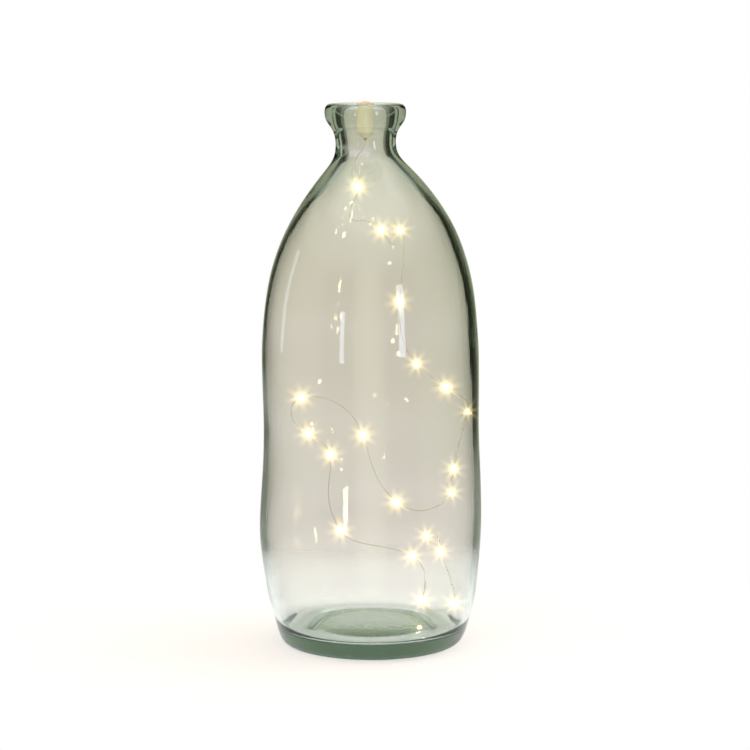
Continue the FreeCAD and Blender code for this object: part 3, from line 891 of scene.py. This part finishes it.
    def build_chips(self) -> Piece:
        """Set a bevelled light chip beside the wire inside each drop.

        Returns:
            The twenty chips as one piece.
        """
        dies = bmesh.new()
        for index in range(len(self.places)):
            made = bmesh.ops.create_cube(dies, size=1.0)["verts"]
            offset = self.strand * 2 + self.chip_height / 2 + self.chip_gap
            sizes = (self.chip_height * MM, self.chip_size * MM, self.chip_size * MM)
            shape = (self.pose(index) @ Matrix.Translation((offset * MM, 0, 0))
                     @ Matrix.Diagonal((*sizes, 1.0)))
            bmesh.ops.transform(dies, matrix=shape, verts=made)
        bmesh.ops.bevel(dies, geom=dies.edges[:], offset=self.chip_bevel * MM,
                        affect="EDGES", segments=2, profile=0.5, material=-1)
        made = new_object("led_chip_dies", closed_mesh("led_chip_dies", dies, self.chip_crease))
        return dressed(made, Body.STOPPER, PHOSPHOR, ["led_chips"])

    def build(self) -> list[Piece]:
        """Returns:
            The wire, the drops and the chips.
        """
        self.lay_spine()
        wire = self.build_wire()
        drops = [self.build_drop(index) for index in range(len(self.places))]
        chips = self.build_chips()
        log.info("wire: %.1f mm long", self.run[-1] / MM)
        return [wire, *drops, chips]


@dataclass
class StickTop:
    """Cork cap, cork band and press button at the top of the light stick.

    Rings are radius and height in millimetres, round the stick's own axis.
    """

    cap: tuple[Ring, ...] = (
        (4.85, 344.8), (5.25, 344.8), (5.44, 344.88), (5.5, 345.1), (5.5, 350.3),
        (5.42, 350.62), (5.2, 350.86), (4.85, 350.95), (2.55, 350.95), (2.32, 350.88),
        (2.25, 350.7), (2.25, 349.75), (4.35, 349.75), (4.35, 347.0), (4.85, 347.0),
    )
    band: tuple[Ring, ...] = (
        (5.5, 343.2), (5.62, 343.22), (5.72, 343.35), (5.75, 343.55), (5.75, 344.2),
        (5.72, 344.45), (5.62, 344.58), (5.5, 344.6),
    )
    button: tuple[Ring, ...] = (
        (0, 349.15), (2.8, 349.15), (2.9, 349.25), (2.9, 349.55), (2.8, 349.65),
        (2.1, 349.65), (2.1, 351.2), (2.04, 351.4), (1.86, 351.52), (1.6, 351.55),
        (1.3, 351.48), (0.8, 351.4), (0, 351.36),
    )
    axis: float = -3.0
    steps: int = 48
    # Edges taller than this are split, so that the pores have corners to sink.
    tall_edge: float = 1.4
    cuts: int = 12
    pit_depth: float = 0.14
    pit_size: float = 0.55
    # Pores open only outside skin_radius, and on top outside the button's hole.
    skin_radius: float = 5.3
    top_height: float = 350.8
    hole_radius: float = 2.6
    cork_crease: float = 50.0
    button_crease: float = 60.0

    def pressed_cork(self, name: str, outline: Sequence[Ring]) -> bpy.types.Mesh:
        """Turn a cork ring, split it finely and sink open pores into its skin.

        Args:
            name: Name of the mesh.
            outline: Rings of its closed section.

        Returns:
            The mesh.
        """
        shell = turned(outline, self.steps, closed=True)
        tall = [edge for edge in shell.edges
                if abs(edge.verts[0].co.z - edge.verts[1].co.z) > self.tall_edge * MM]
        bmesh.ops.subdivide_edges(shell, edges=tall, cuts=self.cuts, use_grid_fill=True)
        bmesh.ops.recalc_face_normals(shell, faces=shell.faces)
        shell.normal_update()
        moves = []
        for corner in shell.verts:
            grain = noise.noise(corner.co / (self.pit_size * MM))
            reach = math.hypot(corner.co.x, corner.co.y) / MM
            on_top = corner.co.z / MM > self.top_height and reach > self.hole_radius
            skin = 1.0 if reach > self.skin_radius or on_top else 0.0
            moves.append((corner, corner.normal * -max(grain, 0) * self.pit_depth * MM * skin))
        for corner, move in moves:
            corner.co += move
        bmesh.ops.translate(shell, verts=shell.verts, vec=(self.axis * MM, 0, 0))
        return closed_mesh(name, shell, self.cork_crease)

    def build(self) -> list[Piece]:
        """Build cap, band and button.

        Returns:
            The three pieces.
        """
        cap = new_object("cork_cap_pressed", self.pressed_cork("cork_cap_pressed", self.cap))
        band = new_object("cork_band", self.pressed_cork("cork_band", self.band))
        shell = turned(self.button, self.steps)
        bmesh.ops.translate(shell, verts=shell.verts, vec=(self.axis * MM, 0, 0))
        button = new_object("button_rubber",
                            closed_mesh("button_rubber", shell, self.button_crease))
        return [
            dressed(cap, Body.CAP, CORK, ["cork_cap"]),
            dressed(band, Body.STOPPER, CORK),
            dressed(button, Body.BUTTON, BUTTON_RUBBER, ["switch_button"]),
        ]


@dataclass
class CarriedParts:
    """CAD nodes whose shape is right and that only get their finish."""

    finishes: dict[str, Finish] = field(default_factory=lambda: {
        "stopper_plug": SILICONE, "battery_tube": CREAM_ABS, "wire_gland": GLAND_RUBBER,
        "return_strip": BRASS, "spring_leaf": SPRING_STEEL, "button_cell_1": CELL_NICKEL,
        "button_cell_2": CELL_NICKEL, "button_cell_3": CELL_NICKEL,
        "switch_board": SOLDER_MASK, "snap_dome": SPRING_STEEL,
        "chip_resistor": RESISTOR_CERAMIC, "centre_contact": BRASS, "outer_contact": BRASS,
    })

    def dress(self) -> None:
        """Put each node's finish on it."""
        for name, finish in self.finishes.items():
            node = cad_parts[name]
            node.data.materials.clear()
            node.data.materials.append(finish.material())
            log.info("%s: %s", name, finish.name)


@dataclass(frozen=True)
class SoftBox:
    """A soft light, with its width, height and place in metres and its power in watts.

    The glass shows its reflection only if it is mirrored.
    """

    name: str
    size: tuple[float, float]
    place: Point
    power: float
    colour: str = "ffffff"
    mirrored: bool = False


@dataclass
class Studio:
    """Camera, pale floor, soft lights and the room that shows through the glass.

    The room's colours depend on the direction of a ray, an arrow one unit long.
    """

    eye: Point = (3.2, -1600.0, 405.0)
    tilt: float = 81.83
    aim: Point = (0.0, 0.0, 180.0)
    lens: float = 119.94
    sensor: float = 36.0
    floor_radius: float = 500.0
    floor_drop: float = 0.3
    floor_steps: int = 128
    # Times that light may turn inside the thick glass of the neck and the foot.
    light_steps: int = 24
    lights: tuple[SoftBox, ...] = (
        SoftBox("key", (1.2, 1.2), (-1.1, -0.9, 1.7), 16),
        SoftBox("fill", (1.4, 1.4), (1.3, 0.2, 1.6), 11),
        SoftBox("back", (1.4, 1.0), (0.2, 1.4, 1.6), 10),
        SoftBox("window_right", (0.12, 0.4), (0.53, -0.85, 0.36), 1.1, "dceaff", True),
        SoftBox("window_left", (0.1, 0.5), (-0.97, 0.24, 0.36), 0.35, "dceaff", True),
        SoftBox("window_front", (0.08, 0.24), (-0.48, -0.88, 0.24), 0.4, "dceaff", True),
    )
    # What shows through the glass, from wall_foot below the horizon up to the horizon.
    wall_foot: float = -0.26
    wall_tones: tuple[Tone, ...] = (
        (0.0, "fff4ee"), (0.1, "fff1ea"), (0.2, "f4e8df"), (0.3, "ebe1d4"), (0.6, "e6dbcb"),
        (1.0, "e2d9c4"),
    )
    # What the glass mirrors level with it, from the room's sides to its front and back.
    side_tones: tuple[Tone, ...] = (
        (0.0, "8f9480"), (0.48, "83886f"), (0.62, "34372a"), (0.72, "26281c"),
        (0.915, "26281c"), (0.945, "4c4f40"), (0.97, "a0a58f"), (1.0, "c6c9a8"),
    )
    # How much of the pale ceiling is mirrored above, and below by how far down a ray goes.
    ceiling_edge: tuple[float, float] = (0.42, 0.55)
    floor_shares: tuple[tuple[float, float], ...] = (
        (0.13, 0.0), (0.165, 0.25), (0.19, 0.5), (0.22, 0.5), (0.25, 0.06), (0.45, 0.3),
    )
    # The ceiling's lamp is brighter than white, which no hex colour can say.
    ceiling_tones: tuple[Tone, ...] = ((0.7, "c8cabd"), (0.9, (1.6, 1.6, 1.5, 1.0)))
    # A ray was mirrored once or more if its glossy depth is over this.
    mirrored_depth: float = 0.5
    glare_from: float = 2.0
    glare_most: float = 14.0
    glare_tint: str = "fff6cc"
    rays: int = 8
    ray_angle: float = 12.0
    ray_strength: float = 0.3
    ray_fade: float = 0.8
    ray_steps: int = 2
    halo_strength: float = 1.5
    halo_size: float = 0.12

    def set_camera(self) -> None:
        """Stand the camera where the photograph was taken from."""
        view = bpy.data.cameras.new("camera")
        view.lens = self.lens
        view.sensor_width = self.sensor
        camera = bpy.data.objects.new("camera", view)
        camera.location = [number * MM for number in self.eye]
        camera.rotation_euler = (math.radians(self.tilt), 0, 0)
        bpy.context.scene.collection.objects.link(camera)
        bpy.context.scene.camera = camera

    def lay_floor(self) -> None:
        """Lay a round white card under the bottle."""
        card = bmesh.new()
        bmesh.ops.create_circle(card, cap_ends=True, segments=self.floor_steps,
                                radius=self.floor_radius * MM)
        bmesh.ops.translate(card, verts=card.verts, vec=(0, 0, -self.floor_drop * MM))
        made = new_object("floor_card", closed_mesh("floor_card", card))
        made.data.materials.append(FLOOR_CARD.material())

    def hang_light(self, box: SoftBox) -> None:
        """Hang one soft box that looks at the bottle.

        Args:
            box: The soft box.
        """
        lamp = bpy.data.lights.new(box.name, "AREA")
        lamp.shape = "RECTANGLE"
        lamp.size, lamp.size_y = box.size
        lamp.energy = box.power
        lamp.color = linear(box.colour)[:3]
        hung = bpy.data.objects.new(box.name, lamp)
        hung.location = box.place
        gaze = Vector(self.aim) * MM - Vector(box.place)
        hung.rotation_euler = gaze.to_track_quat("-Z", "Y").to_euler()
        hung.visible_camera = False
        hung.visible_glossy = box.mirrored
        hung.visible_transmission = False
        bpy.context.scene.collection.objects.link(hung)

    def mirrored_room(self, tree: Tree, parts: Node) -> Node:
        """Add the dim room that the glass mirrors, with a pale ceiling and floor.

        Args:
            tree: The world's tree.
            parts: Node that gives the three parts of a ray's direction.

        Returns:
            The room's background.
        """
        across = add_node(tree, "CombineXYZ",
                          links={"X": parts.outputs["X"], "Y": parts.outputs["Y"]})
        level = add_node(tree, "VectorMath", links={0: across.outputs[0]}, operation="NORMALIZE")
        turn = add_node(tree, "SeparateXYZ", links={"Vector": level.outputs[0]})
        side = add_node(tree, "Math", links={0: turn.outputs["Y"]}, operation="ABSOLUTE")
        flags = add_node(tree, "ValToRGB", links={"Fac": side.outputs[0]}, stops=self.side_tones)
        above = add_node(tree, "MapRange",
                         {"From Min": self.ceiling_edge[0], "From Max": self.ceiling_edge[1]},
                         {"Value": parts.outputs["Z"]})
        down = add_node(tree, "Math", {1: -1.0}, {0: parts.outputs["Z"]}, operation="MULTIPLY")
        below = add_node(tree, "ValToRGB", links={"Fac": down.outputs[0]},
                         stops=[(place, (share, share, share, 1.0))
                                for place, share in self.floor_shares])
        pale = add_node(tree, "Math",
                        links={0: above.outputs[0], 1: below.outputs[0]}, operation="ADD")
        overhead = add_node(tree, "ValToRGB", links={"Fac": parts.outputs["Z"]},
                            stops=self.ceiling_tones)
        whole = add_node(tree, "Mix", links={
            MIX_SHARE: pale.outputs[0], MIX_FIRST: flags.outputs[0],
            MIX_SECOND: overhead.outputs[0]}, data_type="RGBA")
        return add_node(tree, "Background", links={"Color": whole.outputs[MIX_RESULT]})

    def paint_room(self) -> None:
        """Make the room: white behind, warm grey through the glass, dim where it is mirrored."""
        world = bpy.data.worlds.new("studio")
        bpy.context.scene.world = world
        world.use_nodes = True
        tree = world.node_tree
        tree.nodes.clear()
        gaze = add_node(tree, "TexCoord").outputs["Generated"]
        parts = add_node(tree, "SeparateXYZ", links={"Vector": gaze})
        wall = add_node(tree, "MapRange", {"From Min": self.wall_foot, "From Max": 0.0},
                        {"Value": parts.outputs["Z"]})
        back = add_node(tree, "ValToRGB", links={"Fac": wall.outputs[0]}, stops=self.wall_tones)
        back.color_ramp.interpolation = "B_SPLINE"
        path = add_node(tree, "LightPath")
        glossy = add_node(tree, "Math", {1: self.mirrored_depth},
                          {0: path.outputs["Glossy Depth"]}, operation="GREATER_THAN")
        dim = self.mirrored_room(tree, parts)
        bright = add_node(tree, "Background", links={"Color": back.outputs[0]})
        white = add_node(tree, "Background", {"Color": linear("ffffff")})
        room = add_node(tree, "MixShader", links={
            0: glossy.outputs[0], 1: bright.outputs[0], 2: dim.outputs[0]})
        whole = add_node(tree, "MixShader", links={
            0: path.outputs["Is Camera Ray"], 1: room.outputs[0], 2: white.outputs[0]})
        add_node(tree, "OutputWorld", links={"Surface": whole.outputs[0]})

    def add_sparkle(self) -> None:
        """Give the lights the halo and short rays that the photographer's lens gave them."""
        scene = bpy.context.scene
        scene.use_nodes = True
        tree = scene.node_tree
        tree.nodes.clear()
        seen = add_node(tree, "RLayers")
        glare = {"Threshold": self.glare_from, "Clamp": True, "Maximum": self.glare_most,
                 "Tint": linear(self.glare_tint)}
        rays = add_node(tree, "Glare",
                        {**glare, "Strength": self.ray_strength, "Streaks": self.rays,
                         "Iterations": self.ray_steps, "Fade": self.ray_fade,
                         "Streaks Angle": math.radians(self.ray_angle), "Color Modulation": 0.0},
                        {"Image": seen.outputs["Image"]}, glare_type="STREAKS", quality="HIGH")
        halo = add_node(tree, "Glare",
                        {**glare, "Strength": self.halo_strength, "Size": self.halo_size},
                        {"Image": rays.outputs["Image"]}, glare_type="FOG_GLOW", quality="HIGH")
        add_node(tree, "Composite", links={"Image": halo.outputs["Image"]})

    def set_up(self) -> None:
        """Set camera, floor, room, lights and the way light is shown."""
        self.set_camera()
        self.lay_floor()
        self.paint_room()
        for box in self.lights:
            self.hang_light(box)
        scene = bpy.context.scene
        for limit in ("max_bounces", "glossy_bounces", "transmission_bounces"):
            setattr(scene.cycles, limit, self.light_steps)
        scene.view_settings.view_transform = "Standard"
        scene.view_settings.look = "None"
        self.add_sparkle()


def main() -> None:
    """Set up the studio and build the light."""
    logging.basicConfig(level=logging.INFO, format="%(message)s")
    Studio().set_up()
    LightString().build()
    GlassBottle().build()
    StickTop().build()
    CarriedParts().dress()
    bpy.context.view_layer.update()


if __name__ == "__main__":
    main()
